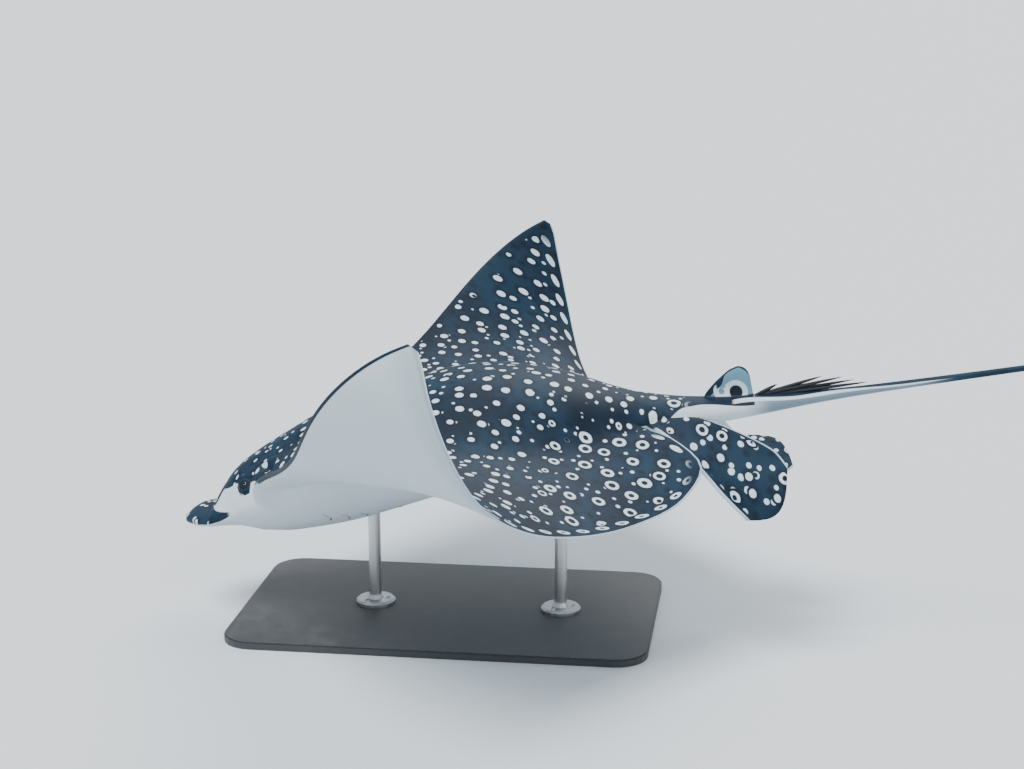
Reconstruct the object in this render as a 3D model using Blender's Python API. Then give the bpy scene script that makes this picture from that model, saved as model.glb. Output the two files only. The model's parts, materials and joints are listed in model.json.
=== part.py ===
"""Spotted eagle ray, life size, still, on a plain display stand.

Head towards -X, tail towards +X, the animal's left side towards -Y, +Z up.
The origin is in the middle of the base's underside.

The animal is drawn flat first, in disc widths: s runs back from the tip of the
snout, y runs out to the side, z is the height above the middle sheet of the
body.  place() then bends that flat animal into its pose: the spine is pitched
along s, and each wing is folded along y.  Every fleshy part is one closed
solid between an upper and a lower sheet, parted from its neighbours by a thin
cut.
"""
import math

import bmesh
import bpy
import numpy as np

# --------------------------------------------------------------- sizes
DISC_WIDTH = 1.60            # m, wing tip to wing tip with the wings laid flat
CUT = 0.0004                 # m, thin cut between neighbouring parts
EDGE = 0.0005                # half thickness of a fin's edge, in disc widths
BODY_X = -0.4300             # m, where the snout tip is, along X
BODY_Z = 0.1450              # m, height of the snout tip above the floor

HEAD_FRONT = 0.055           # where the head begins behind the snout lobe
HEAD_BACK = 0.160            # where the trunk begins
TRUNK_BACK = 0.538           # where the tail begins
TAIL_BASE_BACK = 0.700
TAIL_MID_BACK = 1.300
TAIL_TIP = 2.000

WING_FRONT = 0.096           # where the wing's leading edge leaves the head
WING_BACK = 0.478            # where its trailing edge meets the trunk
WING_TIP = (0.354, 0.500)

EYE_AT = (0.0880, 0.0505, 0.0142)
EYE_RADIUS = 0.0102

# stations (s, value), joined by monotone cubics
TOP = [(0, .0022), (.004, .0046), (.010, .0076), (.017, .0088), (.026, .0077),
       (.0335, .0064), (.042, .0146), (.050, .0225), (.066, .0335), (.085, .0415), (.12, .0500), (.20, .062), (.30, .060), (.40, .043),
       (.47, .0245), (.53, .0145), (.60, .0094), (.65, .0060), (.70, .0043),
       (.86, .0028), (1.3, .0019), (2.0, .0008)]
BOTTOM = [(0, .0020), (.012, .0060), (.035, .0100), (.060, .020),
          (.085, .033), (.12, .043), (.20, .051), (.30, .051), (.40, .037),
          (.47, .020), (.53, .0135), (.60, .0092), (.65, .0060),
          (.70, .0043), (.86, .0028), (1.3, .0019), (2.0, .0008)]
HALF_WIDTH = [(0, .004), (.004, .017), (.012, .028), (.026, .040),
              (.040, .0455), (.052, .0455), (.060, .0465), (.072, .0525),
              (.085, .0595), (WING_FRONT, .0645), (.13, .084), (.18, .126), (.25, .166), (.33, .160),
              (.40, .118), (.45, .064), (.478, .038), (.53, .0265),
              (.57, .0180), (.60, .0125), (.65, .0074), (.70, .0048),
              (.86, .0029), (1.3, .0020), (2.0, .0008)]
# 0.5 is an elliptical section, larger values fall away softly to the side
ROUNDNESS_TOP = [(0, .30), (.040, .32), (.060, .5), (.10, .5), (.20, 1.25), (.42, 1.25), (.49, .5),
                 (2, .5)]
ROUNDNESS_BELLY = [(0, .5), (.10, .5), (.22, .85), (.42, .85), (.49, .5),
                   (2, .5)]
# nose-up is negative: the snout is down and the tail rises behind
PITCH = [(0, 13.8), (.10, 21.5), (.26, 19.9), (.42, 1.6), (.54, 8.4),
         (.60, 9.8), (.86, 9.9), (1.5, 3.0), (2.0, -2.0)]
LEADING = [(WING_FRONT, .0645), (.114, .100), (.157, .165), (.206, .250),
           (.254, .340), (.301, .420), (.333, .470), WING_TIP]
TRAILING = [(WING_BACK, .038), (.515, .062), (.5375, .095), (.522, .135),
            (.481, .185), (.424, .255), (.383, .330), (.366, .405),
            (.359, .460), (.357, .490), WING_TIP]
WING_BULGE = 0.055           # how far the cut bows out round the trunk
WING_HALF_THICKNESS = [(0, .0235), (.3, .0160), (.6, .0090), (1, .0030)]

# fold of the wing, degrees above level, at four control spans from root to
# tip: value at s = 0.33 and its change for each disc width further back
FOLD = [(-6.1, -204.), (-8.2, 40.), (18.6, -327.), (108.4, -207.)]
RIGHT_WING_EXTRA = (-0.9, -4.9, 18.7)   # the right wing is held a bit flatter
LOBE_DROOP = 8.0             # degrees, how the snout lobe's sides hang

PELVIC_FRONT, PELVIC_BACK = 0.486, 0.534
PELVIC_LEADING = [(PELVIC_FRONT, .037), (.510, .055), (.534, .076),
                  (.555, .095), (.570, .107)]
PELVIC_INNER = [(PELVIC_BACK, .026), (.556, .031), (.580, .037),
                (.602, .046), (.613, .061)]
# droop in degrees at the root and further out, sag to the rear and its end
PELVIC_DROOP = {-1: (12.0, 50.0, 0.55, 0.0), 1: (-44.0, 0.0, 2.4, 90.0)}

DORSAL_FRONT, DORSAL_BACK = 0.5405, 0.5880
DORSAL_FRONT_EDGE = [(DORSAL_FRONT, 0), (.5420, .0027), (.5482, .0098),
                     (.5605, .0204), (.5690, .0262), (.5740, .0280)]
DORSAL_REAR_EDGE = [(DORSAL_BACK, 0), (.5879, .0085), (.5875, .0170),
                    (.5862, .0228), (.5835, .0266), (.5805, .0281)]

# stings: root s, tip s, heights of both over the tail's middle line, slant
STINGS = [(.590, .612, .0090, .0172, 0.0), (.592, .655, .0088, .0186, .0016),
          (.594, .674, .0088, .0160, -.0014), (.597, .684, .0084, .0112, .0010),
          (.600, .697, .0080, .0078, -.0020)]
STING_WIDTH, STING_THICKNESS = 0.0068, 0.0050      # m

BASE_SIZE = (0.66, 0.40, 0.012)         # m
BASE_CORNER = 0.05
BASE_EDGE = 0.002
ROD_RADIUS = 0.010
ROD_FOOT_RADIUS, ROD_FOOT_HEIGHT = 0.032, 0.008
ROD_AT = (0.205, 0.400)                 # under these stations of the trunk


# --------------------------------------------------------------- curves
def profile(x, stations):
    """Monotone cubic through a short list of stations."""
    xk, yk = np.array(stations, float).T
    h, slope = np.diff(xk), np.diff(yk) / np.diff(xk)
    m = np.zeros_like(yk)
    w1, w2 = 2 * h[1:] + h[:-1], h[1:] + 2 * h[:-1]
    same = slope[1:] * slope[:-1] > 0
    a, b = np.where(same, slope[:-1], 1), np.where(same, slope[1:], 1)
    m[1:-1] = np.where(same, (w1 + w2) / (w1 / a + w2 / b), 0)
    m[0], m[-1] = slope[0], slope[-1]
    x = np.clip(x, xk[0], xk[-1])
    i = np.clip(np.searchsorted(xk, x, side="right") - 1, 0, len(h) - 1)
    t = (x - xk[i]) / h[i]
    return ((1 + 2 * t) * (1 - t) ** 2 * yk[i] + t * (1 - t) ** 2 * h[i] * m[i]
            + t * t * (3 - 2 * t) * yk[i + 1] + t * t * (t - 1) * h[i] * m[i + 1])


def along(points, t):
    """Point at the share t of a curve's length, through its points."""
    p = np.array(points, float)
    d = np.concatenate([[0], np.cumsum(np.hypot(*np.diff(p, axis=0).T))])
    d /= d[-1]
    return (profile(t, np.c_[d, p[:, 0]]), profile(t, np.c_[d, p[:, 1]]))


def ease(a, b, x):
    t = np.clip((x - a) / (b - a), 0, 1)
    return t * t * (3 - 2 * t)


# --------------------------------------------------------------- pose
def spine(s):
    """Middle line of the body: X, Z and pitch at s."""
    step = np.linspace(0, 2.02, 506)
    pitch = np.radians(profile(step, PITCH))
    mid, ds = (pitch[1:] + pitch[:-1]) / 2, step[1] - step[0]
    x = np.concatenate([[0], np.cumsum(np.cos(mid) * ds)])
    z = np.concatenate([[0], np.cumsum(np.sin(mid) * ds)])
    return np.interp(s, step, x), np.interp(s, step, z), np.interp(s, step, pitch)


def fold(s, y, side):
    """Angle of the wing's sheet across the body, in radians."""
    t = np.clip((y - 0.04) / 0.46, 0, 1)
    back = s - 0.33
    share = [(1 - t) ** 3, 3 * t * (1 - t) ** 2, 3 * t * t * (1 - t), t ** 3]
    angle = sum(w * (a + b * back) for w, (a, b) in zip(share, FOLD))
    flat, spread, twist = RIGHT_WING_EXTRA
    extra = side * (flat + spread * t + twist * t * back)
    lobe = 1 - ease(0.045, 0.085, s)
    return np.radians(angle * (1 - lobe) * ease(0.015, 0.075, y) + extra
                      - LOBE_DROOP * lobe * ease(0, 0.04, y))


def place(s, y, z, side):
    """Bend the flat animal into its pose; the answer is in metres."""
    s, y, z, side = np.broadcast_arrays(*(np.asarray(v, float)
                                          for v in (s, y, z, side)))
    mid = (np.arange(24) + 0.5) / 24
    f = fold(s[..., None], y[..., None] * mid, side[..., None])
    out, up = np.cos(f).mean(-1) * y, np.sin(f).mean(-1) * y
    here = fold(s, y, side)
    out, up = out - z * np.sin(here), up + z * np.cos(here)
    return to_metres(s, out, up, side)


def to_metres(s, out, up, side):
    x0, z0, pitch = spine(s)
    p = np.stack([x0 - np.sin(pitch) * up, side * out,
                  z0 + np.cos(pitch) * up], -1) * DISC_WIDTH
    return p + np.array([BODY_X, 0, BODY_Z])


# --------------------------------------------------------------- thickness
def wing_thickness(q, t):
    """Half thickness of the wing, q from front to rear edge, t to the tip."""
    q = np.clip(q, 0, 1)
    foil = 1.75 * np.sqrt(q) * (1 - q) ** 0.85
    return EDGE + profile(t, WING_HALF_THICKNESS) * foil


def pelvic_thickness(q, t):
    flesh = (0.0042 - 0.0028 * t) * np.sin(np.pi * np.clip(q, 0, 1)) ** 0.6
    return EDGE + flesh * (1 - t ** 6)


def sheet_height(s, y, q, t, heights, roundness, share):
    """Height of the upper or lower sheet over the middle one."""
    behind = (pelvic_thickness(pelvic_share(s), 0) - EDGE) * (np.asarray(q) > 1)
    wing = share * (wing_thickness(q, t) + behind)
    middle = share * (wing_thickness(q, 0) + behind)
    crown = np.sqrt(np.maximum(profile(s, heights) ** 2 - middle ** 2, 0))
    inside = np.maximum(1 - (y / profile(s, HALF_WIDTH)) ** 2, 0)
    hump = crown * inside ** profile(s, roundness)
    return np.sqrt(hump ** 2 + wing ** 2)


def upper(s, y, q, t=0):
    return sheet_height(s, y, q, t, TOP, ROUNDNESS_TOP, 1.0)


def lower(s, y, q, t=0):
    return -sheet_height(s, y, q, t, BOTTOM, ROUNDNESS_BELLY, 0.8)


def wing_share(s):
    """How far s is along the wing's root, outside 0 to 1 off the wing."""
    return (s - WING_FRONT) / (WING_BACK - WING_FRONT)


def pelvic_share(s):
    return (s - PELVIC_FRONT) / (PELVIC_BACK - PELVIC_FRONT)


def side_of_body(s):
    """Half width of the middle body: the cut to the wing, or the skin."""
    q = np.clip(wing_share(s), 0, 1)
    straight = LEADING[0][1] + q * (TRAILING[0][1] - LEADING[0][1])
    cut = straight + WING_BULGE * np.sin(np.pi * q) ** 1.5
    on_wing = (s > WING_FRONT) & (s < WING_BACK)
    return np.where(on_wing, cut, profile(s, HALF_WIDTH))


# --------------------------------------------------------------- meshes
def material(name, colour, roughness, metallic=0.0):
    mat = bpy.data.materials.get(name)
    if mat is None:
        mat = bpy.data.materials.new(name)
        mat.use_nodes = True
        bsdf = mat.node_tree.nodes["Principled BSDF"]
        bsdf.inputs["Base Color"].default_value = (*colour, 1)
        bsdf.inputs["Roughness"].default_value = roughness
        bsdf.inputs["Metallic"].default_value = metallic
    return mat


def add_object(name, bm, mat):
    bmesh.ops.recalc_face_normals(bm, faces=bm.faces)
    mesh = bpy.data.meshes.new(name)
    bm.to_mesh(mesh)
    bm.free()
    mesh.shade_smooth()
    mesh.set_sharp_from_angle(angle=math.radians(40))
    mesh.materials.append(mat)
    ob = bpy.data.objects.new(name, mesh)
    bpy.context.scene.collection.objects.link(ob)
    return ob


def closed_sheets(name, high, low, mat):
    """Closed solid between two sheets of points, walled round their rim."""
    rows, cols = high.shape[:2]
    bm = bmesh.new()
    grids = [[[bm.verts.new(p) for p in row] for row in sheet]
             for sheet in (high, low)]
    for grid in grids:
        for i in range(rows - 1):
            for j in range(cols - 1):
                bm.faces.new((grid[i][j], grid[i + 1][j],
                              grid[i + 1][j + 1], grid[i][j + 1]))
    rim = ([(i, 0) for i in range(rows)]
           + [(rows - 1, j) for j in range(1, cols)]
           + [(i, cols - 1) for i in range(rows - 2, -1, -1)]
           + [(0, j) for j in range(cols - 2, 0, -1)])
    up, down = grids
    for (a, b), (c, d) in zip(rim, rim[1:] + rim[:1]):
        p, q, r, t = up[a][b], up[c][d], down[c][d], down[a][b]
        # walls are split the same way on both sides of a cut
        if a < c:
            walls = ((p, q, r), (p, r, t))
        elif a > c:
            walls = ((p, q, t), (q, r, t))
        else:
            walls = ((p, q, r, t),)
        for wall in walls:
            bm.faces.new(wall)
    return add_object(name, bm, mat)


def body_length(name, stations, columns, mat, swell=0.0):
    """One length of the middle body, from side to side."""
    s = np.asarray(stations, float)[:, None]
    turn = np.linspace(-1, 1, columns)[None, :]
    q = wing_share(s)
    share = np.sin(np.abs(turn) * np.pi / 2)
    y = (side_of_body(s) - CUT / 2 / DISC_WIDTH) * share
    side = np.where(turn < 0, -1.0, 1.0)
    high = place(s, y, upper(s, y, q) + swell, side)
    low = place(s, y, lower(s, y, q) - swell, side)
    return closed_sheets(name, high, low, mat)


def wing(name, side, mat):
    """Pectoral fin from the cut along the trunk out to its tip."""
    q = wing_share(ROOT_STATIONS)[:, None]
    # the tip ends just short of its point, so that it keeps its thickness
    t = np.append(np.linspace(0, 0.96, 17) ** 0.9, 0.985)[None, :]
    fs, fy = along(LEADING, t)
    rs, ry = along(TRAILING, t)
    bow = WING_BULGE * np.sin(np.pi * np.clip(q, 0, 1)) ** 1.5 * (1 - t) ** 1.5
    s = fs + (rs - fs) * q
    y = fy + (ry - fy) * q + bow + CUT / 2 / DISC_WIDTH
    high = place(s, y, upper(s, y, q, t), side)
    low = place(s, y, lower(s, y, q, t), side)
    return closed_sheets(name, high, low, mat)


def pelvic_place(q, s, y, z, side):
    """Pose of the pelvic fin's sheet, which hangs from the trunk's side."""
    root, more, sag, level = PELVIC_DROOP[side]
    q, s, y, z = np.broadcast_arrays(*(np.asarray(v, float) for v in (q, s, y, z)))
    behind = np.maximum(s - (PELVIC_FRONT + q * (PELVIC_BACK - PELVIC_FRONT)), 0)
    edge = profile(np.minimum(s, .55), HALF_WIDTH)
    v = np.maximum(y - edge, 0)
    mid = (np.arange(16) + 0.5) / 16
    f = -np.radians(root + more * ease(0, .08, v[..., None] * mid))
    out = np.cos(f).mean(-1) * v
    up = (np.sin(f).mean(-1) * v - sag * behind ** 2 / (behind + 0.02)
          + level * behind ** 3)
    middle = (place(s, edge, 0, side) + to_metres(s, out, up, side)
              - to_metres(s, 0 * out, 0 * up, side))
    # the flesh stands square on the sheet, however steeply that hangs
    square = side * np.cross(np.gradient(middle, axis=0), np.gradient(middle, axis=1))
    square /= np.linalg.norm(square, axis=-1, keepdims=True)
    return middle + square * z[..., None] * DISC_WIDTH


def pelvic_fin(name, side, mat):
    q = pelvic_share(PELVIC_STATIONS)[:, None]
    t = np.linspace(0, 1, 10)[None, :]
    fs, fy = along(PELVIC_LEADING, t)
    rs, ry = along(PELVIC_INNER, t)
    s, y = fs + (rs - fs) * q, fy + (ry - fy) * q
    bulge = 0.014 * np.sin(np.pi * q) * t ** 3        # rounded outer margin
    s, y = s + bulge * 0.7, y + bulge
    thick = pelvic_thickness(q, t)
    high = pelvic_place(q, s, y, thick, side)
    low = pelvic_place(q, s, y, -0.8 * thick, side)
    # the root stands against the side of the trunk, a thin cut away from it
    s0, h0 = s[:, 0], thick[:, 0]
    y0 = profile(s0, HALF_WIDTH) + CUT / 2 / DISC_WIDTH
    high[:, 0] = place(s0, y0, h0, side)
    low[:, 0] = place(s0, y0, -0.8 * h0, side)
    return closed_sheets(name, high, low, mat)


def dorsal_fin(name, mat):
    q = np.linspace(0, 1, 9)[:, None]
    t = np.linspace(0, 1, 8)[None, :]
    fs, fz = along(DORSAL_FRONT_EDGE, t)
    rs, rz = along(DORSAL_REAR_EDGE, t)
    s, z = fs + (rs - fs) * q, fz + (rz - fz) * q
    z = z + 0.0012 * np.sin(np.pi * q) * t ** 3
    thick = EDGE + (0.0022 - 0.0014 * t) * np.sin(np.pi * q) ** 0.7
    ridge = (profile(s, TOP)
             * np.sqrt(1 - (thick / profile(s, HALF_WIDTH)) ** 2))
    rise = ridge + z + CUT / DISC_WIDTH
    left = place(s, thick, rise, -1)
    right = place(s, thick, rise, 1)
    return closed_sheets(name, right, left, mat)


def sting(root, tip, low, high, slant):
    """Flat tapering barb, rooted inside the tail."""
    bm = bmesh.new()
    rings = []
    for k, share in enumerate((0, .12, .4, .7, .9, 1)):
        s = root + (tip - root) * share
        z = low + (high - low) * share
        middle = place(s, 0, z, 1) + np.array([0, slant * share * DISC_WIDTH, 0])
        w = STING_WIDTH / 2 * (1 - share ** 3) + 0.0005
        h = STING_THICKNESS / 2 * (1 - share ** 3) + 0.0004
        ring = [bm.verts.new(middle + np.array([0, w * math.cos(a), h * math.sin(a)]))
                for a in np.linspace(0, 2 * math.pi, 6, endpoint=False)]
        rings.append(ring)
    for a, b in zip(rings, rings[1:]):
        for j in range(6):
            bm.faces.new((a[j], a[(j + 1) % 6], b[(j + 1) % 6], b[j]))
    bm.faces.new(rings[0])
    bm.faces.new(rings[-1])
    return bm


def boolean(ob, cutter, operation):
    cutter.hide_render = True
    cutter.display_type = "WIRE"
    mod = ob.modifiers.new(operation.title() + " " + cutter.name, "BOOLEAN")
    mod.operation = operation
    mod.solver = "EXACT"
    mod.object = cutter


def ball(name, at, radius, side, mat):
    bm = bmesh.new()
    bmesh.ops.create_icosphere(bm, subdivisions=3, radius=radius)
    ob = add_object(name, bm, mat)
    ob.location = place(*at, side)
    return ob


# --------------------------------------------------------------- stand
def stand_base(mat):
    length, width, height = BASE_SIZE
    bm = bmesh.new()
    corner = []
    for k in range(4):
        cx = (length / 2 - BASE_CORNER) * (1 if k in (0, 3) else -1)
        cy = (width / 2 - BASE_CORNER) * (1 if k in (0, 1) else -1)
        for a in np.linspace(k * math.pi / 2, (k + 1) * math.pi / 2, 7):
            corner.append(bm.verts.new((cx + BASE_CORNER * math.cos(a),
                                        cy + BASE_CORNER * math.sin(a), 0)))
    floor = bm.faces.new(corner)
    lifted = bmesh.ops.extrude_face_region(bm, geom=[floor])
    top = [v for v in lifted["geom"] if isinstance(v, bmesh.types.BMVert)]
    bmesh.ops.translate(bm, verts=top, vec=(0, 0, height))
    bmesh.ops.recalc_face_normals(bm, faces=bm.faces)
    rim = [e for e in bm.edges if all(v.co.z > height / 2 for v in e.verts)]
    bmesh.ops.bevel(bm, geom=rim, offset=BASE_EDGE, segments=2, affect="EDGES")
    return add_object("stand_base", bm, mat)


def stand_rod(name, station, mat, belly):
    """Turned rod with a foot, its top end cut to the belly."""
    x, _, middle = place(station, 0, 0, 1)
    z0 = BASE_SIZE[2] + CUT
    rise = middle - z0                  # to the middle of the body, then cut
    outline = [(0, 0), (ROD_FOOT_RADIUS, 0),
               (ROD_FOOT_RADIUS, ROD_FOOT_HEIGHT * .6),
               (ROD_FOOT_RADIUS * .9, ROD_FOOT_HEIGHT),
               (ROD_RADIUS * 1.35, ROD_FOOT_HEIGHT),
               (ROD_RADIUS, ROD_FOOT_HEIGHT * 1.8), (ROD_RADIUS, rise),
               (0, rise)]
    bm = bmesh.new()
    line = [bm.verts.new((r, 0, z)) for r, z in outline]
    edges = [bm.edges.new(pair) for pair in zip(line, line[1:])]
    bmesh.ops.spin(bm, geom=line + edges, axis=(0, 0, 1), cent=(0, 0, 0),
                   steps=16, angle=2 * math.pi, use_merge=True)
    bmesh.ops.remove_doubles(bm, verts=bm.verts, dist=1e-6)
    ob = add_object(name, bm, mat)
    ob.location = (x, 0, z0)
    boolean(ob, belly, "DIFFERENCE")
    return ob


# --------------------------------------------------------------- build
for old in list(bpy.data.objects):
    bpy.data.objects.remove(old, do_unlink=True)

SKIN = material("ray_skin", (0.028, 0.050, 0.085), 0.42)
EYE = material("ray_eye", (0.012, 0.012, 0.014), 0.08)
PAINTED = material("stand_painted_metal", (0.060, 0.062, 0.066), 0.45)
STEEL = material("stand_brushed_steel", (0.62, 0.62, 0.60), 0.32, 1.0)

HALF_CUT = CUT / 2 / DISC_WIDTH
# stations along the wing's root, closer where the edges are round
ROOT_STATIONS = np.sort(np.concatenate([
    [WING_FRONT, .0975, .101, .107, .115, .126, .141, HEAD_BACK, .183, .208],
    np.linspace(.236, .445, 8), [.460, .471, WING_BACK]]))

PELVIC_STATIONS = np.linspace(PELVIC_FRONT, PELVIC_BACK, 9)

body_length("snout_lobe",
            [0, .002, .006, .013, .022, .032, .040, .0475, HEAD_FRONT - HALF_CUT],
            13, SKIN)
head = body_length(
    "head", np.concatenate([
        [HEAD_FRONT + HALF_CUT, .0595, .064, .069, .0745, .080, .0855, .091],
        ROOT_STATIONS[ROOT_STATIONS < HEAD_BACK - .001],
        [HEAD_BACK - HALF_CUT]]), 13, SKIN)
trunk_stations = np.concatenate([
    [HEAD_BACK + HALF_CUT], ROOT_STATIONS[ROOT_STATIONS > HEAD_BACK + .001],
    PELVIC_STATIONS, [TRUNK_BACK - HALF_CUT]])
trunk = body_length("trunk", trunk_stations, 13, SKIN)
tail_base = body_length("tail_base", [TRUNK_BACK + HALF_CUT, .555, .575, .590,
                                      .605, .625, .65, .675,
                                      TAIL_BASE_BACK - HALF_CUT], 9, SKIN)
body_length("tail_middle", np.linspace(TAIL_BASE_BACK + HALF_CUT,
                                       TAIL_MID_BACK - HALF_CUT, 13), 7, SKIN)
body_length("tail_whip", np.linspace(TAIL_MID_BACK + HALF_CUT, TAIL_TIP, 12),
            7, SKIN)
for number, barb in enumerate(STINGS):
    cutter = add_object("sting_%d" % (number + 1), sting(*barb), SKIN)
    boolean(tail_base, cutter, "UNION")

for label, side in (("left", -1), ("right", 1)):
    wing("pectoral_fin_" + label, side, SKIN)
    pelvic_fin("pelvic_fin_" + label, side, SKIN)
    ball("eye_" + label, EYE_AT, EYE_RADIUS * DISC_WIDTH, side, EYE)
    socket = ball("socket_" + label, EYE_AT,
                  EYE_RADIUS * DISC_WIDTH + CUT, side, EYE)
    boolean(head, socket, "DIFFERENCE")
dorsal_fin("dorsal_fin", SKIN)

stand_base(PAINTED)
belly = body_length("belly_cutter", trunk_stations[:-10], 13, SKIN,
                    swell=CUT / DISC_WIDTH)
for label, station in zip(("front", "rear"), ROD_AT):
    stand_rod("stand_rod_" + label, station, STEEL, belly)
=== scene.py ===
# %% [markdown]
# # A spotted eagle ray for a museum hall
# The model is a life-size, still figure of a swimming ray, held over a flat base by two short
# rods. Its imported solids are loaded as a fixed frame: the base and the rods stay as they are and
# only get a finish, while one continuous skin takes the place of every fleshy solid.
# The frame's record and boxes tell where things are, so nothing is placed twice.

# %% Load the fixed frame
import json
import math

import bmesh
import bpy
import numpy as np
from mathutils import Matrix, Vector

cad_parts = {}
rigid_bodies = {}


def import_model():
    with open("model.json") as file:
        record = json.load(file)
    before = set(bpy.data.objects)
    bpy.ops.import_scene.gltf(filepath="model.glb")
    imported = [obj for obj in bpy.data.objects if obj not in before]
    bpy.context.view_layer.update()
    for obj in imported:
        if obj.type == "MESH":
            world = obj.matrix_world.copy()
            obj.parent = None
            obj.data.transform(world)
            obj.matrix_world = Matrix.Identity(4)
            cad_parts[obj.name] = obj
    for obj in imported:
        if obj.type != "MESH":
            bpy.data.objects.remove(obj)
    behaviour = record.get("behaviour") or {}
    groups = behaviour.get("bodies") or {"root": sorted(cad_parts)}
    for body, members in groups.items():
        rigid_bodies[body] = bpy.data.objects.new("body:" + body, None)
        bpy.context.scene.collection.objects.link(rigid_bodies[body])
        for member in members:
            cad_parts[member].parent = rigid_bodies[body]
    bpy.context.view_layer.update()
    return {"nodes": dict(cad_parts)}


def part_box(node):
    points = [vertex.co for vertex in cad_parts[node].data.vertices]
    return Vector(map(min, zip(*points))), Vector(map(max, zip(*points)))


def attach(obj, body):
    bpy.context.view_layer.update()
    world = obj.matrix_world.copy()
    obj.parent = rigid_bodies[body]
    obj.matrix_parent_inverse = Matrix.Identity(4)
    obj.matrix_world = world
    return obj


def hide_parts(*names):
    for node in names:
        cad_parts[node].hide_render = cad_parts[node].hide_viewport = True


for old in list(bpy.data.objects):
    bpy.data.objects.remove(old, do_unlink=True)
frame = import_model()
FLESH = ["snout_lobe", "head", "trunk", "tail_base", "tail_middle", "tail_whip",
         "pectoral_fin_left", "pectoral_fin_right", "pelvic_fin_left",
         "pelvic_fin_right", "dorsal_fin"]

# %% [markdown]
# ## The animal laid flat
# A ray is easiest to draw flat: s runs back from the snout, y out to the side and z up, all in
# disc widths. Short lists of stations give the top line, the belly line and the half width, and
# a monotone cubic joins them without overshooting, which is what a modeller's batten does.

# %% Curves through a few stations
DISC_WIDTH = 1.60                  # m, wing tip to wing tip with the wings laid flat
BODY_X, BODY_Z = -0.4300, 0.1450   # m, where the tip of the snout stands
EDGE = 0.0005                      # half thickness of a fin's edge
LOWER_SHARE = 0.8                  # a fin's thickness under its middle sheet, against over it
WING_FRONT, WING_BACK, WING_TIP = 0.096, 0.478, (0.354, 0.500)
EYE_AT, EYE_RADIUS = (0.0880, 0.0505, 0.0142), 0.0102
TOP = [(0, .0022), (.004, .0046), (.010, .0076), (.017, .0088), (.026, .0077), (.0335, .0064),
       (.042, .0146), (.050, .0225), (.066, .0335), (.085, .0415), (.12, .0500), (.20, .062),
       (.30, .060), (.40, .043), (.47, .0245), (.53, .0145), (.60, .0094), (.65, .0060),
       (.70, .0043), (.86, .0028), (1.3, .0019), (2.0, .0008)]
BOTTOM = [(0, .0020), (.012, .0060), (.035, .0100), (.060, .020), (.085, .033), (.12, .043),
          (.20, .051), (.30, .051), (.40, .037), (.47, .020), (.53, .0135), (.60, .0092),
          (.65, .0060), (.70, .0043), (.86, .0028), (1.3, .0019), (2.0, .0008)]
HALF_WIDTH = [(0, .004), (.004, .017), (.012, .028), (.026, .040), (.040, .0455), (.052, .0455),
              (.060, .0465), (.072, .0525), (.085, .0595), (WING_FRONT, .0645), (.13, .084),
              (.18, .126), (.25, .166), (.33, .160), (.40, .118), (.45, .064), (.478, .038),
              (.53, .0265), (.57, .0180), (.60, .0125), (.65, .0074), (.70, .0048), (.86, .0029),
              (1.3, .0020), (2.0, .0008)]
ROUNDNESS_TOP = [(0, .30), (.040, .32), (.060, .5), (.10, .5), (.20, 1.25), (.42, 1.25),
                 (.49, .5), (2, .5)]
ROUNDNESS_BELLY = [(0, .5), (.10, .5), (.22, .85), (.42, .85), (.49, .5), (2, .5)]
PITCH = [(0, 13.8), (.10, 21.5), (.26, 19.9), (.42, 1.6), (.54, 8.4), (.60, 9.8), (.86, 9.9),
         (1.5, 3.0), (2.0, -2.0)]
LEADING = [(WING_FRONT, .0645), (.114, .100), (.157, .165), (.206, .250), (.254, .340),
           (.301, .420), (.333, .470), WING_TIP]
TRAILING = [(WING_BACK, .038), (.515, .062), (.5375, .095), (.522, .135), (.481, .185),
            (.424, .255), (.383, .330), (.366, .405), (.359, .460), (.357, .490), WING_TIP]
WING_BULGE = 0.055
WING_HALF_THICKNESS = [(0, .0235), (.3, .0160), (.6, .0090), (1, .0030)]
# angles of the wing's sheet in degrees, each with its change along s, from root to tip
FOLD = [(-6.1, -204.), (-8.2, 40.), (18.6, -327.), (108.4, -207.)]
FOLD_START, FOLD_RUN, FOLD_MIDDLE = 0.04, 0.46, 0.33
RIGHT_WING_EXTRA = (-0.9, -4.9, 18.7)
LOBE_DROOP = 8.0
PELVIC_FRONT, PELVIC_BACK = 0.486, 0.534
PELVIC_LEADING = [(PELVIC_FRONT, .037), (.510, .055), (.534, .076), (.555, .095), (.570, .107)]
PELVIC_INNER = [(PELVIC_BACK, .026), (.556, .031), (.580, .037), (.602, .046), (.613, .061)]
# left and right: angle at the root, its growth, sag and levelling of the rear corner
PELVIC_DROOP = {-1: (12.0, 50.0, 0.55, 0.0), 1: (-44.0, 0.0, 2.4, 90.0)}
DORSAL_FRONT, DORSAL_BACK = 0.5405, 0.5880
DORSAL_FLESH, DORSAL_FILLET = 0.0021, 0.0030
DORSAL_LINE = [(DORSAL_FRONT, 0), (.5420, .0027), (.5482, .0098), (.5605, .0204), (.5690, .0262),
               (.5740, .0281), (.5772, .0290), (.5805, .0283), (.5835, .0266), (.5862, .0228),
               (.5875, .0170), (.58785, .0085), (DORSAL_BACK, 0)]
# of each sting: s and height of its root and tip, and how far the tip leans to the right
STINGS = [(.590, .612, .0090, .0172, 0.0), (.592, .655, .0088, .0186, .0016),
          (.594, .674, .0088, .0160, -.0014), (.597, .684, .0084, .0112, .0010),
          (.600, .697, .0080, .0078, -.0020)]


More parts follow.
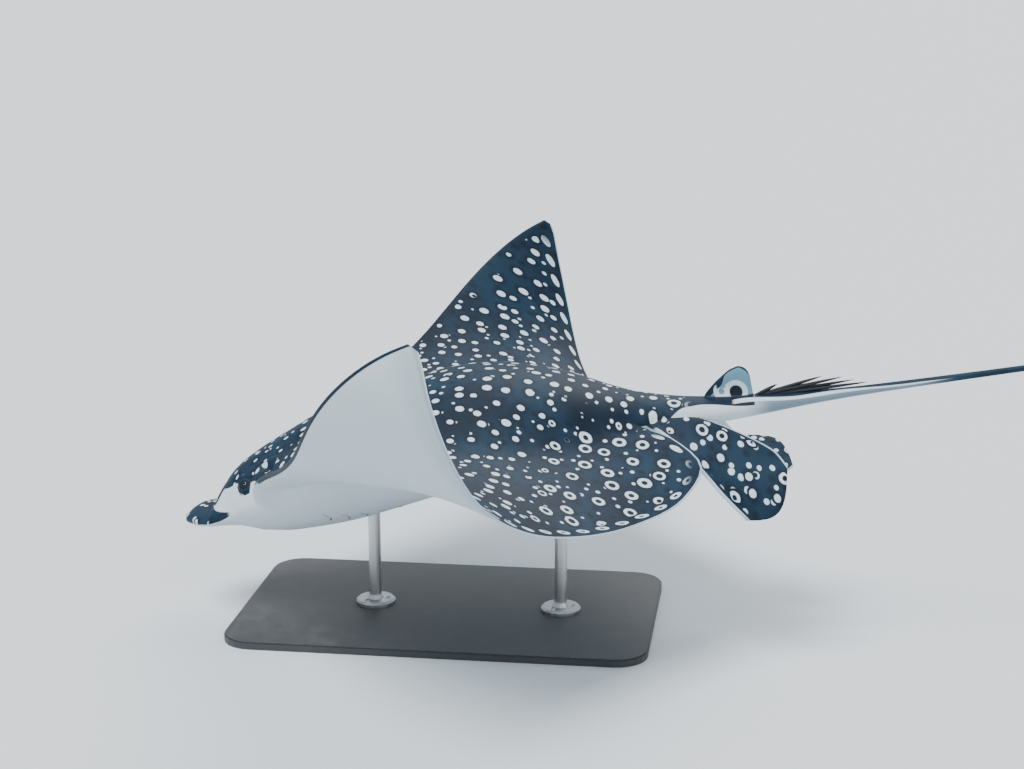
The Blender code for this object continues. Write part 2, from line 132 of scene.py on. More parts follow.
def profile(x, stations):
    """Monotone cubic through a short list of stations."""
    xk, yk = np.array(stations, float).T
    h, slope = np.diff(xk), np.diff(yk) / np.diff(xk)
    m = np.zeros_like(yk)
    w1, w2 = 2 * h[1:] + h[:-1], h[1:] + 2 * h[:-1]
    same = slope[1:] * slope[:-1] > 0
    a, b = np.where(same, slope[:-1], 1), np.where(same, slope[1:], 1)
    m[1:-1] = np.where(same, (w1 + w2) / (w1 / a + w2 / b), 0)
    m[0], m[-1] = slope[0], slope[-1]
    x = np.clip(x, xk[0], xk[-1])
    i = np.clip(np.searchsorted(xk, x, side="right") - 1, 0, len(h) - 1)
    t = (x - xk[i]) / h[i]
    return ((1 + 2 * t) * (1 - t) ** 2 * yk[i] + t * (1 - t) ** 2 * h[i] * m[i]
            + t * t * (3 - 2 * t) * yk[i + 1] + t * t * (t - 1) * h[i] * m[i + 1])


def along(points, t):
    """Point at the share t of a curve's length, through its points."""
    p = np.array(points, float)
    d = np.concatenate([[0], np.cumsum(np.hypot(*np.diff(p, axis=0).T))])
    d /= d[-1]
    return profile(t, np.c_[d, p[:, 0]]), profile(t, np.c_[d, p[:, 1]])


def length_of(points):
    return float(np.hypot(*np.diff(np.array(points, float), axis=0).T).sum())


def ease(a, b, x):
    t = np.clip((x - a) / (b - a), 0, 1)
    return t * t * (3 - 2 * t)


# %% Bend the flat animal into its pose
def spine(s):
    """Middle line of the body: X, Z and pitch at s."""
    step = np.linspace(0, 2.02, 506)
    pitch = np.radians(profile(step, PITCH))
    mid, ds = (pitch[1:] + pitch[:-1]) / 2, step[1] - step[0]
    x = np.concatenate([[0], np.cumsum(np.cos(mid) * ds)])
    z = np.concatenate([[0], np.cumsum(np.sin(mid) * ds)])
    return np.interp(s, step, x), np.interp(s, step, z), np.interp(s, step, pitch)


def fold(s, y, side):
    """Angle of the wing's sheet across the body, in radians."""
    t = np.clip((y - FOLD_START) / FOLD_RUN, 0, 1)
    back = s - FOLD_MIDDLE
    share = [(1 - t) ** 3, 3 * t * (1 - t) ** 2, 3 * t * t * (1 - t), t ** 3]
    angle = sum(w * (a + b * back) for w, (a, b) in zip(share, FOLD))
    level, spread, twist = RIGHT_WING_EXTRA
    extra = side * (level + spread * t + twist * t * back)
    lobe = 1 - ease(0.045, 0.085, s)
    return np.radians(angle * (1 - lobe) * ease(0.015, 0.075, y) + extra
                      - LOBE_DROOP * lobe * ease(0, 0.04, y))


def to_metres(s, out, up, side):
    x0, z0, pitch = spine(s)
    p = np.stack([x0 - np.sin(pitch) * up, side * out,
                  z0 + np.cos(pitch) * up], -1) * DISC_WIDTH
    return p + np.array([BODY_X, 0, BODY_Z])


def place(s, y, z, side):
    """Where a point of the flat animal stands in the pose, in metres."""
    s, y, z, side = np.broadcast_arrays(*(np.asarray(v, float)
                                          for v in (s, y, z, side)))
    mid = (np.arange(24) + 0.5) / 24
    f = fold(s[..., None], y[..., None] * mid, side[..., None])
    out, up = np.cos(f).mean(-1) * y, np.sin(f).mean(-1) * y
    here = fold(s, y, side)
    return to_metres(s, out - z * np.sin(here), up + z * np.cos(here), side)


def pelvic_place(q, s, y, z, side):
    """Pose of the pelvic fin's sheet, which hangs from the trunk's side."""
    root, more, sag, level = PELVIC_DROOP[side]
    q, s, y, z = np.broadcast_arrays(*(np.asarray(v, float) for v in (q, s, y, z)))
    behind = np.maximum(s - (PELVIC_FRONT + q * (PELVIC_BACK - PELVIC_FRONT)), 0)
    edge = profile(np.minimum(s, .55), HALF_WIDTH)
    v = np.maximum(y - edge, 0)
    mid = (np.arange(16) + 0.5) / 16
    f = -np.radians(root + more * ease(0, .08, v[..., None] * mid))
    out = np.cos(f).mean(-1) * v
    up = (np.sin(f).mean(-1) * v - sag * behind ** 2 / (behind + 0.02)
          + level * behind ** 3)
    middle = (place(s, edge, 0, side) + to_metres(s, out, up, side)
              - to_metres(s, 0 * out, 0 * up, side))
    # the flesh stands square on the sheet, however steeply that hangs
    square = side * np.cross(np.gradient(middle, axis=0), np.gradient(middle, axis=1))
    square /= np.linalg.norm(square, axis=-1, keepdims=True)
    return middle + square * z[..., None] * DISC_WIDTH


# %% Thickness of the body, the wings and the small fins
def wing_thickness(q, t):
    """Half thickness of the wing, q from front to rear edge, t to the tip."""
    q = np.clip(q, 0, 1)
    foil = 1.75 * np.sqrt(q) * (1 - q) ** 0.85
    return EDGE + profile(t, WING_HALF_THICKNESS) * foil


def pelvic_thickness(q, t):
    flesh = (0.0042 - 0.0028 * t) * np.sin(np.pi * np.clip(q, 0, 1)) ** 0.6
    return EDGE + flesh * (1 - t ** 6)


def wing_share(s):
    return (s - WING_FRONT) / (WING_BACK - WING_FRONT)


def pelvic_share(s):
    return (s - PELVIC_FRONT) / (PELVIC_BACK - PELVIC_FRONT)


def sheet_height(s, y, q, t, heights, roundness, share):
    """Height of the upper or lower skin over the middle sheet."""
    behind = (pelvic_thickness(pelvic_share(s), 0) - EDGE) * (np.asarray(q) > 1)
    wing = share * (wing_thickness(q, t) + behind)
    middle = share * (wing_thickness(q, 0) + behind)
    crown = np.sqrt(np.maximum(profile(s, heights) ** 2 - middle ** 2, 0))
    inside = np.maximum(1 - (y / profile(s, HALF_WIDTH)) ** 2, 0)
    hump = crown * inside ** profile(s, roundness)
    return np.sqrt(hump ** 2 + wing ** 2)


def upper(s, y, q, t=0):
    return sheet_height(s, y, q, t, TOP, ROUNDNESS_TOP, 1.0)


def lower(s, y, q, t=0):
    return -sheet_height(s, y, q, t, BOTTOM, ROUNDNESS_BELLY, LOWER_SHARE)


def side_of_body(s):
    """Half width of the middle body: the wing's root line, or the skin."""
    q = np.clip(wing_share(s), 0, 1)
    straight = LEADING[0][1] + q * (TRAILING[0][1] - LEADING[0][1])
    root = straight + WING_BULGE * np.sin(np.pi * q) ** 1.5
    on_wing = (s > WING_FRONT) & (s < WING_BACK)
    return np.where(on_wing, root, profile(s, HALF_WIDTH))


# %% [markdown]
# ## One skin without seams
# The skin is a single grid of quads. Rows cross the body from side to side; where a row meets a
# wing or a pelvic fin it simply runs on out to the fin's tip, so body and fins share their
# points and no seam can open. A remesh would be quicker to write, but it would eat the thin fin
# edges and blur the eyelids. Each point also keeps its place in the flat animal, because the
# markings are painted there and must not stretch when the wings fold.

# %% Rows and columns of the grid
HALF_COLUMNS = 48            # from the middle of the back to the side
EYE_COLUMN = 0.76            # share of the way round where the eye is
DORSAL_COLUMNS = 12          # of these, how many climb the dorsal fin
WING_COLUMNS = 52
PELVIC_COLUMNS = 24


def stretch(*runs):
    """Stations in runs of (start, end, step), each run closed by the next."""
    parts = [np.linspace(a, b, max(2, round((b - a) / step) + 1))[:-1]
             for a, b, step in runs]
    return np.concatenate(parts + [[runs[-1][1]]])


ROWS = stretch(
    (0, .004, .0005), (.004, .012, .0012), (.012, .055, .0022), (.055, WING_FRONT, .0009),
    (WING_FRONT, .132, .0010), (.132, .160, .0020), (.160, .455, .0045), (.455, .472, .0026),
    (.472, WING_BACK, .0010), (WING_BACK, PELVIC_FRONT, .0016),
    (PELVIC_FRONT, PELVIC_BACK, .0022), (PELVIC_BACK, DORSAL_FRONT, .0018),
    (DORSAL_FRONT, .581, .0014), (.581, DORSAL_BACK, .0005), (DORSAL_BACK, .60, .0022),
    (.60, .72, .0060), (.72, 2.0, .035))


class Grid:
    """Collects the skin's points, with their places in the flat animal."""

    def __init__(self):
        self.points, self.faces, self.count = [], [], 0
        self.layers = {"flat": [], "margin": [], "region": []}

    def add(self, points, *layers):
        """A block of rows and columns of points; gives their numbers."""
        shape = points.shape[:2]
        self.points.append(points.reshape(-1, 3))
        for store, parts in zip(self.layers.values(), layers):
            whole = [np.broadcast_to(part, shape) for part in parts]
            store.append(np.stack(whole, -1).reshape(-1, 3))
        numbers = np.arange(shape[0] * shape[1]).reshape(shape) + self.count
        self.count += numbers.size
        return numbers

    def quads(self, numbers, turned):
        a, b = numbers[:-1, :-1], numbers[1:, :-1]
        c, d = numbers[1:, 1:], numbers[:-1, 1:]
        order = (a, d, c, b) if turned else (a, b, c, d)
        self.faces.append(np.stack(order, -1).reshape(-1, 4))

    def band(self, first, second):
        """Wall between two lines of points."""
        self.faces.append(np.stack([first[:-1], first[1:],
                                    second[1:], second[:-1]], -1))


def body_rows(face):
    """Half a cross-section for every row: s, y, z and the fin's height."""
    s = ROWS[:, None]
    even = np.linspace(0, 1, HALF_COLUMNS + 1)
    u = even[None, :] ** 0.85
    if face > 0:
        # on the head the columns gather round the eye
        fine = np.linspace(0, 1, 500)
        dense = 1 + 2.2 * np.exp(-((fine - EYE_COLUMN) / 0.13) ** 2)
        dense = np.concatenate([[0], np.cumsum(dense[1:] + dense[:-1])])
        round_eye = np.interp(even, dense / dense[-1], fine)
        here = ease(.060, .074, s) * ease(.122, .104, s)
        u = u + (round_eye[None, :] - u) * here
    side = side_of_body(s)
    q = wing_share(s)
    y = side * np.sin(u * np.pi / 2)
    rise = np.zeros_like(y)
    if face > 0:
        k = np.arange(HALF_COLUMNS + 1)[None, :]
        up_fin = np.clip(1 - k / DORSAL_COLUMNS, 0, 1)
        share = np.clip((s - DORSAL_FRONT) / (DORSAL_BACK - DORSAL_FRONT), 0, 1)
        thick = EDGE + DORSAL_FLESH * np.sin(np.pi * share) ** 0.7
        on_fin = thick * np.sqrt(1 - up_fin ** 8) + DORSAL_FILLET * (1 - up_fin) ** 6
        start = np.arcsin(np.clip((thick + DORSAL_FILLET) / side, 0, 1))
        beyond = np.clip((k - DORSAL_COLUMNS) / (HALF_COLUMNS - DORSAL_COLUMNS), 0, 1)
        off_fin = side * np.sin(start + (np.pi / 2 - start) * beyond)
        gathered = np.where(k <= DORSAL_COLUMNS, on_fin, off_fin)
        near = ease(.500, .540, s) * (1 - ease(.590, .640, s))
        y = y + (gathered - y) * near
        rise = profile(s, DORSAL_LINE) * up_fin * ((share > 0) & (share < 1))
        z = upper(s, y, q) + rise
    else:
        z = lower(s, y, q)
    return s + 0 * y, y, z, rise


def fin_rows(rows, share_of, front_line, rear_line, t):
    """A fin laid flat: its share of the chord, s, y, and the chord."""
    q = share_of(ROWS[rows])[:, None]
    fs, fy = along(front_line, t)
    rs, ry = along(rear_line, t)
    return q, fs + (rs - fs) * q, fy + (ry - fy) * q, np.hypot(rs - fs, ry - fy)


def outline(fin):
    """The free edge of a fin, from its front root round to its rear root."""
    return fin[0], fin[1:, -1], fin[-1, -2::-1]


def build_skin():
    grid = Grid()
    wing_rows = (ROWS > WING_FRONT - 1e-9) & (ROWS < WING_BACK + 1e-9)
    pelvic_rows = (ROWS > PELVIC_FRONT - 1e-9) & (ROWS < PELVIC_BACK + 1e-9)
    first_w, last_w = np.flatnonzero(wing_rows)[[0, -1]]
    first_p, last_p = np.flatnonzero(pelvic_rows)[[0, -1]]
    for side in (-1, 1):
        rims = []
        for face in (1, -1):
            turned = side * face < 0
            s, y, z, rise = body_rows(face)
            free = np.where(rise > 0, profile(s, DORSAL_LINE) - rise, 1)
            body = grid.add(place(s, y, z, side), (s, side * y, z), (1, 1, free), (0, 0, rise))
            grid.quads(body, turned)
            # the wing's rows run on from the body's last column
            t = np.linspace(0, 1, WING_COLUMNS + 1)[None, 1:] ** 0.92 * 0.988
            q, s, y, chord = fin_rows(wing_rows, wing_share, LEADING, TRAILING, t)
            y = y + WING_BULGE * np.sin(np.pi * q) ** 1.5 * (1 - t) ** 1.5
            z = (upper if face > 0 else lower)(s, y, q, t)
            wing = grid.add(place(s, y, z, side), (s, side * y, z),
                            (t * length_of(TRAILING), (1 - q) * chord, q * chord), (t, 0, 0))
            wing = np.concatenate([body[wing_rows, -1:], wing], 1)
            grid.quads(wing, turned)
            # and the pelvic fin's rows do the same
            t = np.linspace(0, 1, PELVIC_COLUMNS + 1)[None, 1:]
            q, s, y, chord = fin_rows(pelvic_rows, pelvic_share, PELVIC_LEADING, PELVIC_INNER, t)
            bulge = 0.014 * np.sin(np.pi * q) * t ** 3
            s, y = s + bulge * 0.7, y + bulge
            z = pelvic_thickness(q, t) * (1 if face > 0 else -LOWER_SHARE)
            to_tip = (1 - t) * length_of(PELVIC_LEADING)
            pelvic = grid.add(pelvic_place(q, s, y, z, side), (s, side * y, z),
                              (to_tip, (1 - q) * chord, q * chord), (0, t, 0))
            pelvic = np.concatenate([body[pelvic_rows, -1:], pelvic], 1)
            grid.quads(pelvic, turned)
            rims.append(np.concatenate([
                body[:first_w, -1], *outline(wing), body[last_w + 1:first_p, -1],
                *outline(pelvic), body[last_p + 1:, -1]]))
        grid.band(*rims[::side])
    return grid


# %% Turn the grid into a mesh
def linked(name, data):
    """A new object in the scene with this mesh, lamp or camera."""
    ob = bpy.data.objects.new(name, data)
    bpy.context.scene.collection.objects.link(ob)
    return ob


def from_bmesh(name, bm):
    mesh = bpy.data.meshes.new(name)
    bm.to_mesh(mesh)
    bm.free()
    return linked(name, mesh)


def skin_object(grid):
    mesh = bpy.data.meshes.new("ray_skin")
    mesh.from_pydata(np.concatenate(grid.points).tolist(), [],
                     np.concatenate(grid.faces).tolist())
    for name, values in grid.layers.items():
        layer = mesh.attributes.new(name, "FLOAT_VECTOR", "POINT")
        layer.data.foreach_set("vector", np.concatenate(values).ravel())
    bm = bmesh.new()
    bm.from_mesh(mesh)
    bmesh.ops.remove_doubles(bm, verts=bm.verts, dist=2e-5)
    bmesh.ops.holes_fill(bm, edges=[e for e in bm.edges if e.is_boundary], sides=0)
    bmesh.ops.recalc_face_normals(bm, faces=bm.faces)
    print("skin:", len(bm.verts), "points,", sum(len(f.verts) - 2 for f in bm.faces),
          "triangles, open edges:", sum(not e.is_manifold for e in bm.edges))
    bm.to_mesh(mesh)
    bm.free()
    mesh.shade_smooth()
    return linked("ray_skin", mesh)


skin = skin_object(build_skin())

# %% [markdown]
# ## Sculpting the head
# The eyes of an eagle ray sit on the sides of a high head and are held by thick lids. Each lid is
# made by moving the skin's own points in and out along lines from the middle of the eyeball, so
# it hugs the ball and stays part of the one skin. The spiracle behind the eye, the nostrils and
# the mouth are pressed in along the skin's normals.

# %% Eyelids, spiracles, nostrils and mouth
BALL = EYE_RADIUS * DISC_WIDTH
LID = 0.0013                 # m, how far the lid stands off the eyeball
LID_WIDE, LID_UP, LID_DOWN = 41.0, 32.0, 29.0   # degrees, from the eye's middle to the lid
MOUTH_AT, MOUTH_BOW = .0800, 3.2
NOSTRIL_AT, NOSTRIL_SIZE = (.0655, .0175), (.0030, .0046)
VENT_AT = .5050


def eye_frame(side):
    """Middle of the eye and its forward, upward and outward directions."""
    s, y, z = EYE_AT
    middle = place(s, y, z, side)
    out = place(s - .0010, y + .0097, z + .0016, side) - middle
    out /= np.linalg.norm(out)
    forward = place(s - .01, y, z, side) - middle
    forward -= out * (forward @ out)
    forward /= np.linalg.norm(forward)
    up = np.cross(forward, out) * side
    return middle, forward, up, out


def open_lids(points, side):
    middle, forward, up, out = eye_frame(side)
    v = points - middle
    r = np.linalg.norm(v, axis=1)
    near = (r < 3.2 * BALL) & (v @ out > 0)
    v, r = v[near], r[near]
    ray = v / r[:, None]
    angle = np.degrees(np.arccos(np.clip(ray @ out, -1, 1)))
    round_it = np.arctan2(ray @ up, ray @ forward)
    tall = np.where(np.sin(round_it) > 0, LID_UP, LID_DOWN)
    opening = 1 / np.hypot(np.cos(round_it) / LID_WIDE, np.sin(round_it) / tall)
    past = angle - opening
    gap = BALL + LID - r
    lifted = r + np.log1p(np.exp(np.clip(gap / .0007, -40, 40))) * .0007
    lifted -= .0011 * np.exp(-((past - 17) / 4) ** 2)
    brow = (np.sin(round_it) > 0) * np.sin(round_it)
    lifted += .0016 * np.exp(-((past - 25) / 6) ** 2) * brow
    sunk = .92 * BALL
    r_new = sunk + (lifted - sunk) * ease(-9, 11, past)
    fade = ease(62, 48, angle)
    points[near] = middle + ray * (r + (r_new - r) * fade)[:, None]


def press(s, y, z):
    """How far the skin is moved along its normal, in metres."""
    y = np.abs(y)
    spiracle = np.hypot((s - .1180) / .0105, (z - .0262 - .25 * (s - .118)) / .0050)
    spiracle = np.where(z > 0, spiracle, 9)
    out = -.0085 * ease(1.25, .25, spiracle)
    out += .0016 * np.exp(-((spiracle - 1.35) / .28) ** 2)
    belly = ease(0, -.004, z)
    lips = s - (MOUTH_AT - MOUTH_BOW * y ** 2)
    wide = ease(.030, .024, y)
    out -= .0050 * np.exp(-(lips / .0013) ** 2) * wide * belly
    out += .0016 * np.exp(-((lips - .0034) / .0022) ** 2) * wide * belly
    nostril = np.hypot((s - NOSTRIL_AT[0]) / NOSTRIL_SIZE[0],
                       (y - NOSTRIL_AT[1]) / NOSTRIL_SIZE[1])
    out -= .0060 * ease(1.0, .3, nostril) * belly
    curtain = ease(.0150, .0128, y) * ease(.0650, .0670, s) * ease(.0785, .0775, s)
    out += .0024 * curtain * belly
    brow = np.hypot((s - .086) / .018, (z - .0300) / .0070)
    out += .0030 * np.exp(-brow ** 2) * (z > 0)
    cheek = np.hypot((s - .0600) / .0065, (z - .0110) / .0080)
    out -= .0034 * np.exp(-cheek ** 2) * ease(.020, .040, y)
    return out


def press_vent(s, y, z):
    """The slit of the vent, between the pelvic fins."""
    slit = np.hypot((s - VENT_AT) / .0075, y / .0026)
    lip = .0012 * np.exp(-((slit - 1.5) / .35) ** 2)
    return (-.0042 * ease(1.1, .2, slit) + lip) * (z < 0)


def vectors(collection, name):
    values = np.empty(len(collection) * 3, np.float32)
    collection.foreach_get(name, values)
    return values.reshape(-1, 3).astype(float)


def sculpt(mesh):
    points, normals = vectors(mesh.vertices, "co"), vectors(mesh.vertex_normals, "vector")
    flat = vectors(mesh.attributes["flat"].data, "vector")
    head = flat[:, 0] < .135
    points[head] += normals[head] * press(*flat[head].T)[:, None]
    vent = abs(flat[:, 0] - VENT_AT) < .02
    points[vent] += normals[vent] * press_vent(*flat[vent].T)[:, None]
    for side in (-1, 1):
        open_lids(points, side)
    mesh.vertices.foreach_set("co", points.ravel())
    mesh.update()
    print("sculpted", int(head.sum()), "points of the head")


sculpt(skin.data)

# %% [markdown]
# ## Eyeballs
# Each eyeball is a ball with a slightly domed cornea, in the plain dark finish of the frame's
# own eyes. It shows no iris and no pupil.

# %% Make the eyeballs
def eyeball(label, side):
    middle, forward, up, out = eye_frame(side)
    bm = bmesh.new()
    bmesh.ops.create_uvsphere(bm, u_segments=56, v_segments=40, radius=1)
    rays = np.array([v.co for v in bm.verts])
    off_middle = np.degrees(np.arccos(np.clip(rays[:, 2], -1, 1)))
    dome = 1 + .05 * np.exp(-(off_middle / 26) ** 2)
    axes = np.array([forward, up, out])
    for vert, ray, swell in zip(bm.verts, rays, dome):
        vert.co = middle + (ray * swell * (BALL - .0002)) @ axes
    bmesh.ops.recalc_face_normals(bm, faces=bm.faces)
    ball = from_bmesh("eyeball_" + label, bm)
    ball.data.shade_smooth()
    return ball


eyeballs = {label: eyeball(label, side) for label, side in (("left", -1), ("right", 1))}
print("eyeballs of", round(BALL * 2000, 1), "mm")

# %% [markdown]
# ## Stings
# Five barbed stings lie over the root of the tail. Each blade is a lofted strip with a groove
# down its back. Its two saw edges repeat one tooth many times, which is work for Geometry
# Nodes: the edge line is cut into even steps and a tooth is set on each, leaning to the root.

# %% Helpers for node trees
def add_node(tree, kind, inputs, settings):
    """Add a node: its settings first, then values, sockets or nodes for its inputs."""
    made = tree.nodes.new(kind)
    for key, value in settings.items():
        setattr(made, key, value)
    for key, value in inputs.items():
        if isinstance(value, bpy.types.Node):
            value = value.outputs[0]
        if isinstance(value, bpy.types.NodeSocket):
            tree.links.new(value, made.inputs[key])
        else:
            made.inputs[key].default_value = value
    return made


class Growth:
    """A geometry tree that ends in real geometry with one material."""

    def __init__(self, name, **sizes):
        self.tree = bpy.data.node_groups.new(name, "GeometryNodeTree")
        face = self.tree.interface
        for label, kind in {"Geometry": "Geometry", **sizes}.items():
            face.new_socket(label, in_out="INPUT", socket_type="NodeSocket" + kind)
        face.new_socket("Geometry", in_out="OUTPUT", socket_type="NodeSocketGeometry")
        self.given = self.node("NodeGroupInput").outputs

    def node(self, kind, inputs=None, **settings):
        whole = kind if "Node" in kind else "GeometryNode" + kind
        return add_node(self.tree, whole, inputs or {}, settings)

    def end(self, geometry, finish):
        real = self.node("RealizeInstances", {0: geometry})
        coat = self.node("SetMaterial", {0: real, "Material": finish})
        self.node("NodeGroupOutput", {0: coat})
        return self.tree


def grow(ob, tree, **values):
    """Run a geometry tree on an object and keep the result as a plain mesh."""
    mod = ob.modifiers.new(tree.name, "NODES")
    mod.node_group = tree
    for item in tree.interface.items_tree:
        if item.in_out == "INPUT" and item.name in values:
            mod[item.identifier] = values[item.name]
    graph = bpy.context.evaluated_depsgraph_get()
    mesh = bpy.data.meshes.new_from_object(ob.evaluated_get(graph))
    ob.modifiers.remove(mod)
    return mesh


# %% The saw-tooth tree
CONE_SIDES = 6


def teeth_tree(finish):
    g = Growth("saw_teeth", Spacing="Float", Tooth="Float")
    line = g.node("MeshToCurve", {"Mesh": g.given["Geometry"]})
    even = g.node("ResampleCurve", {"Curve": line, "Length": g.given["Spacing"]}, mode="LENGTH")
    cone = g.node("MeshCone", {"Vertices": CONE_SIDES, "Radius Top": 0.0,
                               "Radius Bottom": 0.42, "Depth": 1.5})
    lean = g.node("InputNamedAttribute", {"Name": "lean"}, data_type="FLOAT_VECTOR")
    turn = g.node("FunctionNodeAlignRotationToVector", {"Vector": lean}, axis="Z")
    size = g.node("InputNamedAttribute", {"Name": "size"}, data_type="FLOAT")
    scale = g.node("ShaderNodeMath", {0: size, 1: g.given["Tooth"]}, operation="MULTIPLY")
    teeth = g.node("InstanceOnPoints", {"Points": even, "Instance": cone,
                                        "Rotation": turn, "Scale": scale})
    return g.end(teeth, finish)


# %% Build the five stings
STING_WIDTH, STING_THICKNESS = 0.0074, 0.0054
BLADE_SIDES = 14


def sting_lines(root, tip, low, high, slant, steps=30):
    share = np.linspace(0, 1, steps)
    s = root + (tip - root) * share
    z = low + (high - low) * share
    middle = place(s, 0, z, 1) + np.outer(share * slant * DISC_WIDTH, [0, 1, 0])
    ahead = np.gradient(middle, axis=0)
    ahead /= np.linalg.norm(ahead, axis=1)[:, None]
    beside = np.cross([0, 0, 1], ahead)
    beside /= np.linalg.norm(beside, axis=1)[:, None]
    belly = 0.75 + 0.25 * np.sin(share * np.pi)
    half = STING_WIDTH / 2 * (1 - share ** 3) * belly + .00025
    return share, middle, ahead, beside, np.cross(ahead, beside), half


def sting_blades(finish):
    bm, edges = bmesh.new(), bmesh.new()
    lean = edges.verts.layers.float_vector.new("lean")
    size = edges.verts.layers.float.new("size")
    for barb in STINGS:
        share, middle, ahead, beside, top, half = sting_lines(*barb)
        rings = []
        for k in range(len(share)):
            ring = []
            deep = STING_THICKNESS / 2 * (1 - share[k] ** 5) + .0002
            for a in np.linspace(0, 2 * np.pi, BLADE_SIDES, endpoint=False):
                groove = 1 - .45 * np.exp(-(np.cos(a) / .28) ** 2) * (np.sin(a) > 0)
                ring.append(bm.verts.new(middle[k] + beside[k] * half[k] * np.cos(a)
                                         + top[k] * deep * groove * np.sin(a)))
            rings.append(ring)
        for one, two in zip(rings, rings[1:]):
            for j in range(BLADE_SIDES):
                after = (j + 1) % BLADE_SIDES
                bm.faces.new((one[j], one[after], two[after], two[j]))
        bm.faces.new(rings[0])
        bm.faces.new(rings[-1])
        for way in (-1, 1):
            last = None
            for k in range(int(len(share) * .22), len(share) - 1):
                vert = edges.verts.new(middle[k] + way * beside[k] * half[k] * .92)
                vert[lean] = Vector(way * beside[k] * .75 - ahead[k])
                vert[size] = 1.15 - share[k] * .55
                if last:
                    edges.edges.new((last, vert))
                last = vert
    bmesh.ops.recalc_face_normals(bm, faces=bm.faces)
    lines = from_bmesh("sting_edges", edges)
    teeth = grow(lines, teeth_tree(finish), Spacing=.0017, Tooth=.0012)
    bpy.data.objects.remove(lines)
    bm.from_mesh(teeth)
    blades = from_bmesh("tail_stings", bm)
    blades.data.shade_smooth()
    blades.data.set_sharp_from_angle(angle=math.radians(50))
    blades.data.materials.clear()    # the teeth come with a slot number of their own
    blades.data.materials.append(finish)
    print("stings:", len(STINGS), "blades and", len(teeth.polygons) // (CONE_SIDES + 1), "teeth")
    return blades


# %% [markdown]
# ## Gills
# Five short gill openings lie on each side of the belly behind the mouth, each closed by a soft
# flap. A flap is a low ridge swept along a short line, thick in the middle and thin at its ends,
# so one tree sweeps all ten from ten lines that follow the belly.

# %% Lines and tree of the gill flaps
GILLS = 5                    # on each side
GILL_FIRST, GILL_STEP, GILL_HALF = 0.165, 0.0165, 0.0078
GILL_OUT, GILL_SLANT, GILL_BOW = 0.0620, 0.20, 50.0


def gill_lines():
    points, edges = [], []
    off = np.linspace(-1, 1, 11)
    for side in (-1, 1):
        for number in range(GILLS):
            y_off = GILL_HALF * off
            s = GILL_FIRST + GILL_STEP * number - GILL_BOW * y_off ** 2 - .0013
            y = GILL_OUT - (s - GILL_FIRST) * GILL_SLANT + y_off
            start = len(points)
            points += place(s, y, lower(s, y, wing_share(s)) + .0003, side).tolist()
            edges += [(start + k, start + k + 1) for k in range(len(off) - 1)]
    return points, edges


def flap_tree(finish):
    g = Growth("gill_flaps", Width="Float", Height="Float")
    line = g.node("MeshToCurve", {"Mesh": g.given["Geometry"]})
    level = g.node("SetCurveNormal", {"Curve": line}, mode="Z_UP")
    share = g.node("SplineParameter").outputs["Factor"]
    turn = g.node("ShaderNodeMath", {0: share, 1: math.pi}, operation="MULTIPLY")
    swell = g.node("ShaderNodeMath", {0: turn}, operation="SINE")
    circle = g.node("CurvePrimitiveCircle", {"Resolution": 14, "Radius": 1.0})
    size = g.node("ShaderNodeCombineXYZ", {0: g.given["Width"], 1: g.given["Height"], 2: 1.0})
    oval = g.node("Transform", {"Geometry": circle, "Scale": size})
    flap = g.node("CurveToMesh", {"Curve": level, "Profile Curve": oval,
                                  "Scale": swell, "Fill Caps": True})
    return g.end(flap, finish)


# %% Grow a piece from a few points or lines
def grown_piece(name, points, edges, tree, **sizes):
    seed_mesh = bpy.data.meshes.new(name + "_seed")
    seed_mesh.from_pydata(points, edges, [])
    seed = linked(name + "_seed", seed_mesh)
    mesh = grow(seed, tree, **sizes)
    bpy.data.objects.remove(seed)
    mesh.name = name
    mesh.shade_smooth()
    mesh.set_sharp_from_angle(angle=math.radians(40))
    print(name + ":", len(mesh.polygons), "faces")
    return linked(name, mesh)


# %% [markdown]
# ## The stand
# The base is a painted metal plate and the rods are turned steel. Each rod's foot is held by
# three round-headed screws, and a soft rubber ring closes the joint where the rod meets the
# belly. The screws repeat and the rings must follow the belly, so both are grown by trees: the
# ring's points are simply cast straight up until they hit the skin.

# %% Trees of the screws and the rings
def screw_tree(finish):
    g = Growth("foot_screws", Circle="Float", Count="Int", Head="Float")
    circle = g.node("MeshCircle", {"Vertices": g.given["Count"], "Radius": g.given["Circle"]})
    circles = g.node("InstanceOnPoints", {"Points": g.given["Geometry"], "Instance": circle})
    spots = g.node("RealizeInstances", {0: circles})
    ball = g.node("MeshUVSphere", {"Segments": 30, "Rings": 18})
    head = g.node("Transform", {"Geometry": ball, "Scale": (1, 1, .62)})
    key = g.node("MeshCylinder", {"Vertices": 6, "Radius": .46, "Depth": .8})
    key_up = g.node("Transform", {"Geometry": key, "Translation": (0, 0, .66)})
    screw = g.node("MeshBoolean", {"Mesh 1": head, "Mesh 2": key_up}, operation="DIFFERENCE")
    screws = g.node("InstanceOnPoints", {"Points": spots, "Instance": screw,
                                         "Scale": g.given["Head"]})
    return g.end(screws, finish)


